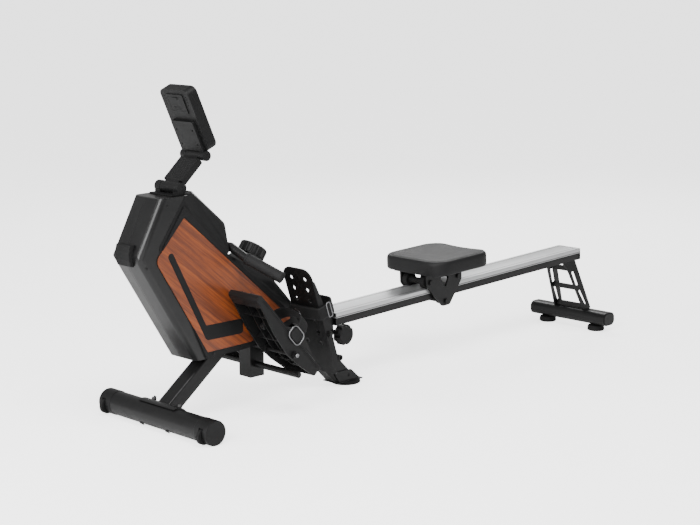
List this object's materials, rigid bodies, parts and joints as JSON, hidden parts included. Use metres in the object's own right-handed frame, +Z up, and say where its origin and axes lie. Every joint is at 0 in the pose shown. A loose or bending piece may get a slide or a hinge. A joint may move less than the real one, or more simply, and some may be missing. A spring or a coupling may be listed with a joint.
{
  "type": "rowing machine",
  "caption": "Folding magnetic rowing machine with a sliding seat on an inclined rail, pull handle, pivoting foot supports, tilting console and wood-look side panels.",
  "frame": {"origin": "on the floor, under the middle of the machine's box", "axes": "+X along the rail from the drive end to the rear stand, -Y to the seated rower's left, +Z up"},
  "size_m": [1.944, 0.48, 0.9336],
  "materials": {
    "black_steel": "satin",
    "black_plastic": "fine grained satin",
    "gloss_cover": "glossy",
    "wood_panel": "satin orange-brown grain",
    "bare_metal": "bright",
    "aluminium": "brushed",
    "black_rubber": "matte",
    "grip_foam": "matte foam",
    "seat_vinyl": "soft sheen",
    "webbing": "woven",
    "display": "glossy",
    "cast_wheel": "machined",
    "cell": "printed sleeve"
  },
  "bodies": {
    "frame": {"front_stabilizer": "black_steel", "front_caps": "black_plastic", "front_leg": "black_steel", "main_beam": "black_steel", "pedal_post": "black_steel", "foot_axles": "black_steel", "mid_leg": "black_steel", "mid_foot": "black_rubber", "cover_left": "black_plastic", "cover_right": "black_plastic", "spine_cover": "gloss_cover", "rear_cover": "gloss_cover", "front_bumper": "black_rubber", "side_panels": "wood_panel", "fasteners": "black_steel", "drive_axles": "bare_metal", "drive_belt": "black_rubber", "recoil_spring": "bare_metal", "tension_cable": "black_rubber", "arm_base": "black_plastic"},
    "left_transport_wheel": {"transport_wheel_left": "black_rubber"},
    "right_transport_wheel": {"transport_wheel_right": "black_rubber"},
    "rail_unit": {"rail": "aluminium", "rail_channel": "black_steel", "rail_bracket": "black_steel", "rail_trim": "black_plastic", "rear_stand": "black_steel", "rear_stabilizer": "black_steel"},
    "seat": {"seat_pad": "seat_vinyl", "seat_carriage": "black_steel"},
    "front_roller_set": {"front_rollers": "black_rubber"},
    "rear_roller_set": {"rear_rollers": "black_rubber"},
    "bottom_roller": {"lower_roller": "black_rubber"},
    "lock_knob": {"fold_knob": "black_plastic"},
    "left_foot": {"foot_left": "black_rubber"},
    "right_foot": {"foot_right": "black_rubber"},
    "drive_wheel": {"flywheel": "cast_wheel"},
    "pulley": {"drive_pulley": "black_plastic"},
    "spool": {"strap_spool": "black_plastic"},
    "magnets": {"magnet_bracket": "black_steel"},
    "knob": {"tension_knob": "black_plastic"},
    "handle": {"handle_bar": "black_steel", "handle_grips": "grip_foam", "pull_strap": "webbing"},
    "arm": {"console_arm": "black_plastic"},
    "console": {"console_back": "black_plastic", "console_front": "black_plastic", "console_screen": "display", "batteries": "cell", "tilt_pin": "black_steel"},
    "button": {"mode_button": "black_plastic"},
    "door": {"battery_door": "black_plastic"},
    "left_pedal": {"pedal_left": "black_plastic", "pedal_strap_left": "webbing"},
    "right_pedal": {"pedal_right": "black_plastic", "pedal_strap_right": "webbing"},
    "left_plate": {"foot_plate_left": "black_plastic", "plate_strap_left": "webbing"},
    "right_plate": {"foot_plate_right": "black_plastic", "plate_strap_right": "webbing"}
  },
  "joints": [
    {"name": "rail_fold", "type": "hinge", "parent": "frame", "child": "rail_unit", "pos_m": [-0.269, 0, 0.228], "axis": [0, -1, 0], "range_deg": [0, 85]},
    {"name": "seat_slide", "type": "slide", "parent": "rail_unit", "child": "seat", "axis": [0.9991, 0, 0.042], "range_m": [-0.345, 0.555]},
    {"name": "front_roller_spin", "type": "hinge", "parent": "seat", "child": "front_roller_set", "pos_m": [0.15678, 0, 0.2702], "axis": [0, 1, 0], "range_deg": [-978.7, 1571.5]},
    {"name": "rear_roller_spin", "type": "hinge", "parent": "seat", "child": "rear_roller_set", "pos_m": [0.28266, 0, 0.2755], "axis": [0, 1, 0], "range_deg": [-978.7, 1571.5]},
    {"name": "lower_roller_spin", "type": "hinge", "parent": "seat", "child": "bottom_roller", "pos_m": [0.22771, 0, 0.20192], "axis": [0, 1, 0], "range_deg": [-2699.8, 1680.2]},
    {"name": "fold_knob_turn", "type": "hinge", "parent": "frame", "child": "lock_knob", "pos_m": [-0.261, -0.06, 0.181], "axis": [0, 1, 0], "range_deg": [0, 1080]},
    {"name": "foot_left_turn", "type": "hinge", "parent": "rail_unit", "child": "left_foot", "pos_m": [0.942, -0.106, 0], "axis": [0, 0, 1], "continuous": true},
    {"name": "foot_right_turn", "type": "hinge", "parent": "rail_unit", "child": "right_foot", "pos_m": [0.942, 0.106, 0], "axis": [0, 0, 1], "continuous": true},
    {"name": "transport_wheel_left_spin", "type": "hinge", "parent": "frame", "child": "left_transport_wheel", "pos_m": [-0.884, -0.216, 0.027], "axis": [0, 1, 0], "continuous": true},
    {"name": "transport_wheel_right_spin", "type": "hinge", "parent": "frame", "child": "right_transport_wheel", "pos_m": [-0.884, 0.216, 0.027], "axis": [0, 1, 0], "continuous": true},
    {"name": "flywheel_spin", "type": "hinge", "parent": "frame", "child": "drive_wheel", "pos_m": [-0.706, 0, 0.35], "axis": [0, -1, 0], "continuous": true},
    {"name": "pulley_spin", "type": "hinge", "parent": "frame", "child": "pulley", "pos_m": [-0.791, 0, 0.475], "axis": [0, -1, 0], "continuous": true},
    {"name": "handle_pull", "type": "slide", "parent": "frame", "child": "handle", "axis": [0.9578, 0, 0.2874], "range_m": [0, 1], "stiffness_N_per_m": 20, "springref_m": -0.5, "deforming": ["pull_strap"]},
    {"name": "spool_spin", "type": "hinge", "parent": "frame", "child": "spool", "pos_m": [-0.791, 0, 0.475], "axis": [0, -1, 0], "range_deg": [-5, 1541.1]},
    {"name": "tension_knob_turn", "type": "hinge", "parent": "frame", "child": "knob", "pos_m": [-0.53, 0, 0.438], "axis": [0.5707, 0, 0.8211], "range_deg": [0, 280]},
    {"name": "magnet_swing", "type": "hinge", "parent": "frame", "child": "magnets", "pos_m": [-0.796, 0, 0.274], "axis": [0, -1, 0], "range_deg": [0, 8]},
    {"name": "arm_swing", "type": "hinge", "parent": "frame", "child": "arm", "pos_m": [-0.806, 0, 0.661], "axis": [0, 1, 0], "range_deg": [-40, 20]},
    {"name": "console_tilt", "type": "hinge", "parent": "arm", "child": "console", "pos_m": [-0.718, 0, 0.741], "axis": [0, 1, 0], "range_deg": [-30, 30]},
    {"name": "mode_button_press", "type": "slide", "parent": "console", "child": "button", "axis": [-0.9143, 0, -0.4051], "range_m": [0, 0.0025], "stiffness_N_per_m": 400, "springref_m": -0.001},
    {"name": "battery_door_slide", "type": "slide", "parent": "console", "child": "door", "axis": [-0.9143, 0, -0.4051], "range_m": [0, 0.03]},
    {"name": "pedal_left_pivot", "type": "hinge", "parent": "frame", "child": "left_pedal", "pos_m": [-0.545, -0.14, 0.186], "axis": [0, 1, 0], "range_deg": [-12, 10]},
    {"name": "pedal_right_pivot", "type": "hinge", "parent": "frame", "child": "right_pedal", "pos_m": [-0.545, 0.14, 0.186], "axis": [0, 1, 0], "range_deg": [-12, 10]},
    {"name": "foot_plate_left_pivot", "type": "hinge", "parent": "frame", "child": "left_plate", "pos_m": [-0.409, -0.14, 0.222], "axis": [0, 1, 0], "range_deg": [-8, 8]},
    {"name": "foot_plate_right_pivot", "type": "hinge", "parent": "frame", "child": "right_plate", "pos_m": [-0.409, 0.14, 0.222], "axis": [0, 1, 0], "range_deg": [-8, 8]}
  ],
  "couplings": [
    {"joint": "front_roller_spin", "follows": "seat_slide", "rad_per_m": 49.261},
    {"joint": "rear_roller_spin", "follows": "seat_slide", "rad_per_m": 49.261},
    {"joint": "lower_roller_spin", "follows": "seat_slide", "rad_per_m": -84.746},
    {"joint": "pulley_spin", "follows": "flywheel_spin", "ratio": 0.28},
    {"joint": "spool_spin", "follows": "handle_pull", "rad_per_m": 26.81},
    {"joint": "magnet_swing", "follows": "tension_knob_turn", "ratio": 0.028571}
  ]
}
